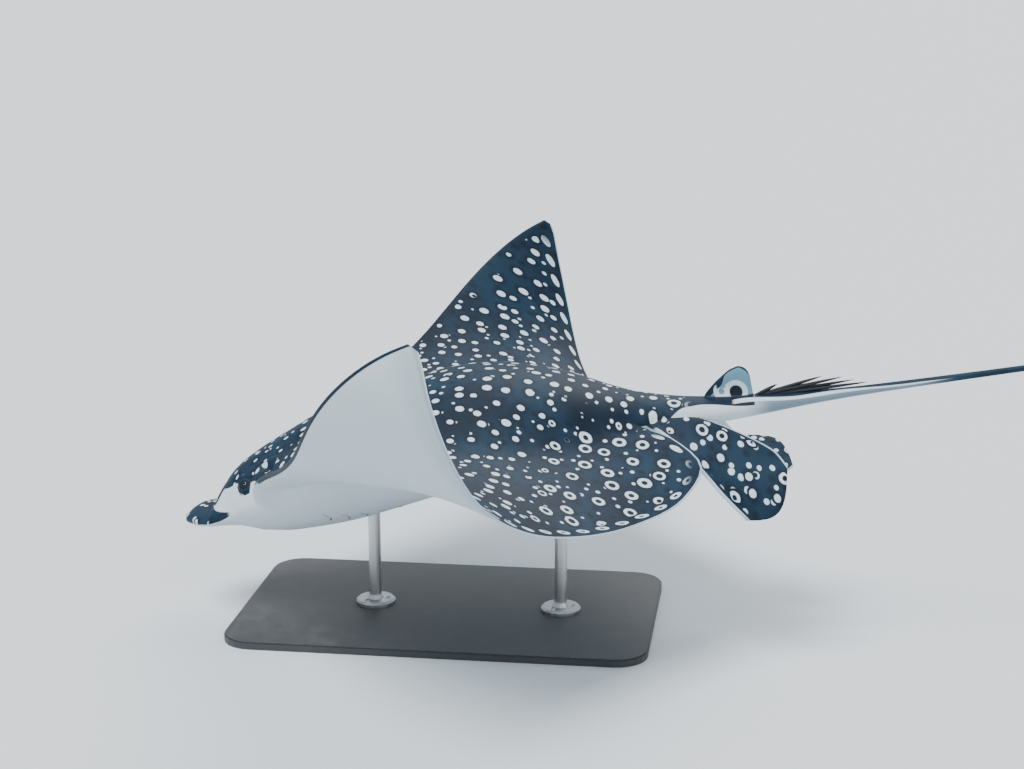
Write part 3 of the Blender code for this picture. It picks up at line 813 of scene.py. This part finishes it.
def collar_tree(finish):
    g = Growth("rod_collars", Skin="Object", Ring="Float", Bead="Float")
    ring = g.node("CurvePrimitiveCircle", {"Resolution": 64, "Radius": g.given["Ring"]})
    rings = g.node("InstanceOnPoints", {"Points": g.given["Geometry"], "Instance": ring})
    loose = g.node("RealizeInstances", {0: rings})
    body = g.node("ObjectInfo", {"Object": g.given["Skin"]}).outputs["Geometry"]
    ray = g.node("Raycast", {"Target Geometry": body, "Ray Direction": (0, 0, 1),
                             "Ray Length": 2.0})
    fitted = g.node("SetPosition", {"Geometry": loose, "Position": ray.outputs["Hit Position"],
                                    "Offset": (0, 0, -.0012)})
    bead = g.node("CurvePrimitiveCircle", {"Resolution": 14, "Radius": g.given["Bead"]})
    rubber = g.node("CurveToMesh", {"Curve": fitted, "Profile Curve": bead})
    return g.end(rubber, finish)


# %% [markdown]
# ## Finishes as sums
# A finish is easier to read as arithmetic than as a web of boxes. A Wire holds one shader socket
# and turns plus, minus, times and divided-by into Math nodes; every other node comes from one
# method of the Recipe, which takes its type, its settings and what goes into its sockets.

# %% Shader arithmetic
class Wire:
    """A shader socket that can be reckoned with like a number."""

    def __init__(self, recipe, node, output=0):
        self.recipe, self.origin = recipe, node
        self.socket = node.outputs[output]

    def also(self, output):
        return Wire(self.recipe, self.origin, output)

    def math(self, operation, *others):
        return self.recipe.node("Math", (self, *others), operation=operation)

    def __abs__(self):
        return self.math("ABSOLUTE")

    def __or__(self, other):
        """Whichever of two masks is stronger."""
        return self.math("MAXIMUM", other)

    def __and__(self, other):
        return self.math("MINIMUM", other)


def reckoning(operation, turned):
    def result(wire, other):
        pair = (other, wire) if turned else (wire, other)
        return wire.recipe.node("Math", pair, operation=operation)
    return result


for sign, operation in (("add", "ADD"), ("sub", "SUBTRACT"), ("mul", "MULTIPLY"),
                        ("truediv", "DIVIDE")):
    setattr(Wire, f"__{sign}__", reckoning(operation, False))
    setattr(Wire, f"__r{sign}__", reckoning(operation, True))


class Recipe:
    """One material and the nodes that make it."""

    def __init__(self, name):
        self.material = bpy.data.materials.new(name)
        self.material.use_nodes = True
        self.tree = self.material.node_tree

    def node(self, kind, inputs=(), output=0, **settings):
        """Add a shader node; its inputs go in order, or by name or number."""
        pairs = inputs.items() if isinstance(inputs, dict) else enumerate(inputs)
        sockets = {key: getattr(value, "socket", value) for key, value in pairs}
        return Wire(self, add_node(self.tree, "ShaderNode" + kind, sockets, settings), output)

    def split(self, vector):
        x = self.node("SeparateXYZ", [vector])
        return x, x.also(1), x.also(2)

    def join(self, *parts):
        return self.node("CombineXYZ", parts)

    def attribute(self, name):
        """The three parts of a point attribute."""
        return self.split(self.node("Attribute", output="Vector", attribute_name=name))

    def place(self):
        return self.node("TexCoord", output="Object")

    def far(self, x, y):
        """Distance from the middle."""
        return (x * x + y * y).math("SQRT")

    def step(self, x, low, high):
        """0 below low and 1 above high, smooth between; may run downwards."""
        if low > high:
            return 1 - self.step(x, high, low)
        return self.node("MapRange", {0: x, 1: low, 2: high}, interpolation_type="SMOOTHSTEP")

    def noise(self, scale, detail=3.0, rough=0.5, at=None):
        return self.node("TexNoise", {"Vector": at or self.place(), "Scale": scale,
                                      "Detail": detail, "Roughness": rough})

    def steps(self, x, start, *runs):
        """A line along x that starts level and gains a height in each (height, low, high)."""
        for height, low, high in runs:
            start = start + height * self.step(x, low, high)
        return start

    def mix(self, share, first, second):
        """Blend of two colours."""
        pair = [v if isinstance(v, Wire) else (*v, 1) for v in (first, second)]
        return self.node("Mix", {0: share, 6: pair[0], 7: pair[1]}, 2, data_type="RGBA")

    def paint(self, base, *layers):
        """Colours laid over a base one after another, each through its mask."""
        for mask, colour in layers:
            base = self.mix(mask, base, colour)
        return base

    def bump(self, height, distance, strength=1.0):
        return self.node("Bump", {"Height": height, "Distance": distance, "Strength": strength})

    def finish(self, **sockets):
        shader = self.tree.nodes["Principled BSDF"]
        for name, value in sockets.items():
            socket = shader.inputs[name.replace("_", " ")]
            if isinstance(value, Wire):
                self.tree.links.new(value.socket, socket)
            else:
                socket.default_value = (*value, 1) if isinstance(value, tuple) else value
        return self.material


# %% [markdown]
# ## The ray's markings
# Every spot grows from a scattered point of a Voronoi pattern laid over the flat animal, so a
# spot stays whole and round when the wing bends. Small solid spots cover the front of the back;
# further back they open into rings, with little dots strewn between them, and a neat row of
# ovals follows the trailing edge.

# %% Painted shade in the gill slits, the mouth and the nostrils, drawn as dark lines
def painted_slit_shade(r, s, y, z):
    out = abs(y)
    beside = out - (GILL_OUT - (s - GILL_FIRST) * GILL_SLANT)
    count = (s - GILL_FIRST + beside * beside * GILL_BOW) / GILL_STEP + 0.5
    slit = abs(count.math("FRACT") - 0.5) * GILL_STEP
    slits = r.step(slit, .0012, .0005) * r.step(abs(beside), GILL_HALF, GILL_HALF - .0008)
    slits = slits * r.step(count, .0, .01) * r.step(count, GILLS, GILLS - .01)
    lips = abs(s - MOUTH_AT + y * y * MOUTH_BOW)
    mouth = r.step(lips, .0017, .0006) * r.step(out, .0290, .0250)
    ahead = (s - NOSTRIL_AT[0]) / NOSTRIL_SIZE[0]
    aside = (out - NOSTRIL_AT[1]) / NOSTRIL_SIZE[1]
    nostril = r.step(ahead * ahead + aside * aside, .8, .3)
    return (slits | mouth | nostril) * r.step(z, -.001, -.002)


# %% Finish of the skin
RING_SCALE, SPOT_SCALE, DOT_SCALE = 40.0, 54.0, 74.0   # how many fit in a disc width
ROW_STEP = 0.0225            # from oval to oval along the trailing edge
SOFT = 0.0004                # blur of a spot's edge


def spotted_skin():
    r = Recipe("ray_skin")
    step, mix = r.step, r.mix
    s, y, z = r.attribute("flat")
    run, to_rear, to_front = r.attribute("margin")
    wing, pelvic, fin = r.attribute("region")
    plan = r.join(s, y, 0.0)
    wobble = (r.noise(170, 2, at=plan) - 0.5) * 0.0014
    ahead, above = s - EYE_AT[0], z - .0145
    round_eye = ahead * ahead + above * above
    on_pelvic, off_pelvic = step(pelvic, .02, .06), 1 - step(pelvic, .0, .02)
    off_tail = 1 - step(s, .515, .530) * off_pelvic
    on_wing = step(wing, .03, .08)
    room = step(to_rear + on_pelvic * .0100, .0125, .0175) * step(to_front, .0030, .0095)
    room = room * (step(round_eye, .00016, .00024) | step(abs(y), .030, .020))

    def inside(distance):
        return step(distance, SOFT, -SOFT)

    def scatter(scale, randomness):
        """Distance to the nearest scattered point, its s, two chances, and if it is a ring."""
        cells = r.node("TexVoronoi", {"Vector": plan, "Scale": scale, "Randomness": randomness},
                       voronoi_dimensions="2D")
        at_s, at_y, _ = r.split(cells.also("Position"))
        chance, luck, _ = r.split(cells.also("Color"))
        side = abs(at_y)
        behind = step(at_s, .385, .415) * step(side, .36, .30) * step(side, .03, .07)
        return cells / scale + wobble, at_s, chance, luck, behind | step(at_s, .50, .51)

    # rings on the rear of the wings and on the pelvic fins
    to_ring, _, chance, luck, ringed = scatter(RING_SCALE, 0.55)
    plain = on_pelvic * step(chance, .38, .37)
    outer = (0.0054 + chance * 0.0010) * (1 - on_pelvic * .14 - plain * .28) * ringed * room
    hole = outer * (0.42 + luck * 0.14) * (1 - plain) - plain * .001
    ring = inside(to_ring - outer) * (1 - inside(to_ring - hole)) * step(outer, .0008, .0014)

    # solid spots in front of the rings and out on the wings, smaller on the head
    to_spot, at_s, chance, _, ringed = scatter(SPOT_SCALE, 0.60)
    size = (0.0029 + chance * 0.0012) * (0.62 + step(at_s, .10, .20) * 0.38)
    size = size * (1 - ringed) * room
    solid = inside(to_spot - size) * step(size, .0006, .0012)
    solid = solid * step(to_ring - outer, .0016, .0028)
    beyond = (to_ring - outer) & (to_spot - size)

    # little dots between them, larger and closer on the head
    on_head = step(s, .135, .115)
    to_dot, _, pick, chance, ringed = scatter(DOT_SCALE, 0.80)
    width = 0.0010 + chance * 0.0011 + on_head * 0.0008 + on_pelvic * 0.0011
    rare = 0.55 - ringed * 0.25 - on_head * 0.20 - on_pelvic * 0.15
    dot = inside(to_dot - width) * step(pick - rare, .0, .005)
    dot = dot * step(beyond, .0016, .0028) * step(room, .3, .7)

    # a row of ovals along the trailing edge of the wing
    here = ((run / ROW_STEP).math("FRACT") - 0.5) * ROW_STEP
    across = to_rear - 0.0092
    oval = here * here / (.0060 ** 2) + across * across / (.0037 ** 2)
    oval = oval.math("SQRT") * 0.005 + wobble
    hollow = step(wing, .55, .50) * step(wing, .10, .14)
    row = step(oval, .0053, .0047) * (1 - step(oval, .0022, .0016) * hollow)
    row = row * on_wing * step(wing, .96, .92)
    white = (ring | solid | dot | row) * off_tail

    # the slate of the back, darker round each spot
    cloud = r.noise(11, 4, .62, at=plan)
    slate = mix(step(cloud, .32, .68), (.0022, .0100, .0240), (.0070, .0310, .0590))
    halo = step(beyond, .0060, .0002) | step(oval, .0085, .0050) * on_wing
    slate = mix(halo * off_tail * 0.75, slate, (.0020, .0075, .0180))
    chalk = mix(r.noise(60, 3, at=plan), (.54, .68, .78), (.72, .82, .88))
    dorsal = mix(white, slate, chalk)
    rear_line = step(to_rear - step(wing, .36, .24) * .0007, .0011, .0006)
    rear_line = rear_line * step(wing + pelvic, .01, .03)
    pelvic_line = step(to_front, .0036, .0028) | step(to_rear, .0020, .0014)
    pelvic_line = pelvic_line * step(pelvic, .06, .10)
    dorsal = mix(rear_line | pelvic_line, dorsal, (.50, .64, .74))

    # the small fin on the tail: an eye-like mark behind a pale hook
    chord = DORSAL_BACK - DORSAL_FRONT
    u, v = (s - DORSAL_FRONT) / chord, fin / chord
    eye = r.far(u - 0.67, v - 0.10)
    hook_u, hook_v = u - 0.38, v - 0.125
    hook = r.far(hook_u, hook_v)
    gap = step(hook_v, .03, .08) * step(abs(hook_u), .12, .07)
    hook = step(hook, .175, .155) * (1 - step(hook, .070, .050)) * (1 - gap)
    hem = r.steps(u, 0.0016, (0.0060, .50, .38), (0.0008, .80, .90))
    blade = r.paint((.006, .018, .034),
                    (step(v, .01, .06), (.13, .27, .36)),
                    (step(eye, .25, .22), (.50, .64, .72)),
                    (hook, (.64, .76, .82)),
                    (step(eye, .145, .120), (.004, .010, .020)),
                    (inside(to_front - hem) * (1 - hook), (.008, .024, .042)))
    dorsal = mix(step(fin, .0008, .0016), dorsal, blade)

    # the dark cap of the head comes down to the eyes; the snout lobe is dark on top once
    # more, and behind the hips the pale flank climbs until only the tail's ridge is dark
    cap = r.steps(s, 0.0, (0.0130, .033, .043), (0.0110, .043, .060), (-0.0185, .076, .087),
                  (0.0110, .0925, .0955), (-0.0205, .098, .122))
    hips = r.steps(s, 0.0, (0.0144, .493, .522), (-0.0075, .535, .590))
    hips = hips * (1 - step(pelvic + wing, .0, .03))
    ragged = (r.noise(40, 2, at=plan) - 0.5) * 0.0008
    top_side = step(z, -.0003, .0003)
    lobe = step(z + s * .5, .0345, .0335) * step(s, .063, .057) * top_side
    back = step(z - cap - hips + ragged, -.00025, .00025) * top_side
    ridge = r.steps(s, 0.0083, (-0.0052, .572, .636), (-0.0025, .66, .74))
    half = r.steps(s, 0.0014, (-0.0006, .65, .70), (-0.0008, .74, .775))
    streak = step(abs(z - ridge) - half, .0003, -.0003) * step(s, .567, .572)
    streak = streak * step(s, .780, .765)
    on_ridge = step(s, .5882, .5900) * off_pelvic
    back = back * (1 - on_ridge) | step(z - ridge, .0, .0004) * on_ridge
    dark_side = (back | lobe | step(s, .735, .785)) * (1 - streak)

    # the pale underside, dusky towards the wings' rear edges, with painted shade under the tail
    under = mix(r.noise(5, 4, .6, at=plan), (.50, .60, .67), (.68, .75, .79))
    dusk = step(to_rear, .030, .004) * 0.25 + step(to_rear, .0045, .002) * 0.25
    rim = step(to_front, .0019, .0013) * step(wing, .100, .125)
    colour = r.paint(under,
                     (dusk * step(wing, .02, .2), (.12, .20, .26)),
                     (rear_line, (.60, .70, .76)),
                     # painted shade: the tail's underside is darkened to a mid blue-grey from its
                     # root back
                     (step(s, .576, .608) * .8 * off_pelvic, (.075, .140, .200)),
                     # painted shade: dark lines where the gill slits, the mouth and the nostrils
                     # open into the skin
                     (painted_slit_shade(r, s, y, z), (.030, .034, .040)),
                     (dark_side, dorsal),
                     (streak, (.62, .74, .80)),
                     (rim, (.006, .020, .038)))

    # fine grain, and the faint rays of cartilage in the wings
    share = to_front / (to_front + to_rear)
    rays = (share * 330).math("SINE") * step(wing, .08, .5) * 0.5
    grain = r.noise(420, 3, .6) * 0.5 + r.noise(60, 3) * 0.6
    return r.finish(Base_Color=colour, Roughness=0.50 + cloud * 0.12 + white * 0.06,
                    Normal=r.bump(grain + rays * 0.25, 0.0006, 0.5), Specular_IOR_Level=0.22)


skin.data.materials.append(spotted_skin())

# %% Finish of the eyes: the plain dark one that the frame gives them
for ball in eyeballs.values():
    ball.data.materials.append(bpy.data.materials["ray_eye"])


# %% Finish of the stings
def sting_finish():
    r = Recipe("sting_dentine")
    grain = r.noise(260, 4, .6)
    streak = r.noise(70, 3)
    colour = r.mix(grain * .6 + streak * .4, (.006, .010, .016), (.032, .038, .044))
    return r.finish(Base_Color=colour, Roughness=.50 + grain * .15,
                    Normal=r.bump(grain, .0003, .5), Specular_IOR_Level=.25)


stings = sting_blades(sting_finish())

# %% Finish of the gill flaps and the rubber rings
def flap_finish():
    r = Recipe("gill_skin")
    tone = r.noise(90, 4, .6)
    colour = r.mix(r.step(tone, .3, .7), (.40, .50, .57), (.62, .70, .75))
    return r.finish(Base_Color=colour, Roughness=.5 + tone * .12,
                    Normal=r.bump(r.noise(420), .0004, .5), Specular_IOR_Level=.25)


def rubber_finish():
    r = Recipe("black_rubber")
    tone = r.noise(300, 3)
    colour = r.mix(tone, (.012, .012, .013), (.030, .030, .031))
    return r.finish(Base_Color=colour, Roughness=.62 + tone * .2,
                    Normal=r.bump(tone, .0002, .5))


# %% Finishes of the stand: painted plate and turned steel
def painted_finish():
    r = Recipe("painted_metal")
    low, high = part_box("stand_base")
    x, y, z = r.split(r.place())
    peel = r.noise(650, 2)
    cloud = r.noise(14, 4, .6)
    colour = r.mix(cloud, (.034, .037, .041), (.052, .055, .060))
    # the paint is worn a little lighter along the plate's rim, and dust lies on its top
    in_x, in_y = ((b - a) / 2 - abs(at - (b + a) / 2) for at, a, b in zip((x, y), low, high))
    rim = r.step(in_x & in_y, .0030, .0004) * r.step(z, high[2] - .0022, high[2] - .0004)
    rim = rim * r.step(r.noise(120, 4, .7), .45, .65)
    colour = r.mix(rim * .35, colour, (.14, .145, .15))
    patches = r.step(r.noise(45, 5, .65), .35, .8)
    dust = r.step(z, high[2] - .001, high[2]) * patches
    colour = r.mix(dust * .16, colour, (.30, .30, .29))
    return r.finish(Base_Color=colour, Roughness=.42 + peel * .10 + dust * .14,
                    Normal=r.bump(peel, .00012, .6))


def steel_finish():
    r = Recipe("turned_steel")
    x, y, z = r.split(r.place())
    rings = r.noise(1.0, 3, .7, r.join(x * 9, y * 9, z * 900))
    smudge = r.noise(38, 3, .6)
    colour = r.mix(rings, (.46, .47, .48), (.66, .665, .67))
    return r.finish(Base_Color=colour, Metallic=1.0, Roughness=.20 + rings * .14 + smudge * .12,
                    Normal=r.bump(rings, .00006, .5))


# %% Fit out the stand
ROD_RADIUS, FOOT_HEIGHT, SCREW_CIRCLE = 0.010, 0.008, 0.0212
steel, painted = steel_finish(), painted_finish()
frame["nodes"]["stand_base"].material_slots[0].material = painted
feet, under_belly = [], []
for label in ("front", "rear"):
    rod = "stand_rod_" + label
    frame["nodes"][rod].material_slots[0].material = steel
    (x0, y0, z0), (x1, y1, _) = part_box(rod)
    feet.append(((x0 + x1) / 2, (y0 + y1) / 2, z0 + FOOT_HEIGHT))
    under_belly.append(((x0 + x1) / 2, (y0 + y1) / 2, z0 + 2 * FOOT_HEIGHT))
screws = grown_piece("foot_screws", feet, [], screw_tree(steel),
                     Circle=SCREW_CIRCLE, Count=3, Head=.0044)
collars = grown_piece("rod_collars", under_belly, [], collar_tree(rubber_finish()),
                      Skin=skin, Ring=ROD_RADIUS + .0014, Bead=.0024)
gills = grown_piece("gill_flaps", *gill_lines(), flap_tree(flap_finish()),
                    Width=.0030, Height=.0016)

# %% Lights, floor and camera
def studio():
    bpy.ops.mesh.primitive_plane_add(size=60)
    floor = bpy.context.object
    floor.name = "floor"
    floor.data.materials.append(Recipe("floor").finish(
        Base_Color=(.74, .78, .81), Roughness=0.8, Specular_IOR_Level=0.2))
    world = bpy.data.worlds.new("studio")
    bpy.context.scene.world = world
    world.use_nodes = True
    sky = world.node_tree.nodes["Background"].inputs
    sky["Color"].default_value, sky["Strength"].default_value = (.86, .93, 1.0, 1), 0.62
    for name, at, spread, power in (("key", (-2.5, -2.6, 7.5), 32, 3.3),
                                    ("fill", (6.0, -6.0, 3.5), 50, 0.6),
                                    ("rim", (1.5, 6.0, 5.5), 40, 1.3)):
        lamp = bpy.data.lights.new(name, "SUN")
        lamp.angle, lamp.energy = math.radians(spread), power
        ob = linked(name, lamp)
        ob.location = at
        ob.rotation_euler = (-Vector(at)).to_track_quat("-Z", "Y").to_euler()


CAMERA_AT = (0.533, -3.005, 1.145)
CAMERA_TURN, CAMERA_DOWN, CAMERA_ROLL = (math.radians(a) for a in (8.159, 14.122, -0.28))


def camera():
    cam = bpy.data.cameras.new("camera")
    cam.lens, cam.sensor_width = 70.7, 36
    level = math.cos(CAMERA_DOWN)
    look = Vector((-math.sin(CAMERA_TURN) * level, math.cos(CAMERA_TURN) * level,
                   -math.sin(CAMERA_DOWN)))
    ob = linked("camera", cam)
    ob.location = CAMERA_AT
    ob.rotation_euler = (look.to_track_quat("-Z", "Y").to_matrix()
                         @ Matrix.Rotation(CAMERA_ROLL, 3, "Z")).to_euler()
    bpy.context.scene.camera = ob


studio()
camera()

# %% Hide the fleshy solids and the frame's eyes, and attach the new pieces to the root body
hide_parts(*FLESH)
for label, ball in eyeballs.items():
    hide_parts("eye_" + label)
for piece in (skin, stings, gills, screws, collars, *eyeballs.values()):
    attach(piece, "root")
